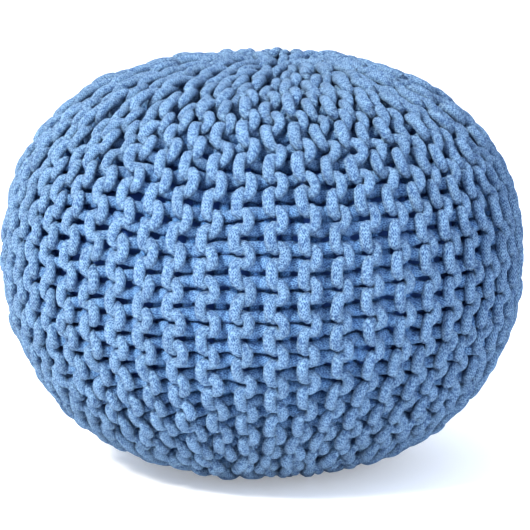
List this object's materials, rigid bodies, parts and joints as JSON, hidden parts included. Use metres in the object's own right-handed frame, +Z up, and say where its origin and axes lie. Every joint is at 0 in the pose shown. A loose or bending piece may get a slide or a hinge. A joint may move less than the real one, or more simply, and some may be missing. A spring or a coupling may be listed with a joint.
{
  "type": "knitted pouf",
  "caption": "Round floor pouf knitted in chunky cotton yarn, with garter ridges running from a gathered crown to a flat base.",
  "frame": {"origin": "on the floor, under the middle of the body", "axes": "+Z up through the body, +X to the right seen from the front, -Y to the front"},
  "size_m": [0.501, 0.5112, 0.3889],
  "materials": {
    "cotton_yarn": "matt knitted-tube cotton cord in mid blue, with fine braiding and a soft fuzz"
  },
  "bodies": {
    "root": {"knitted_body": "cotton_yarn"}
  },
  "joints": []
}
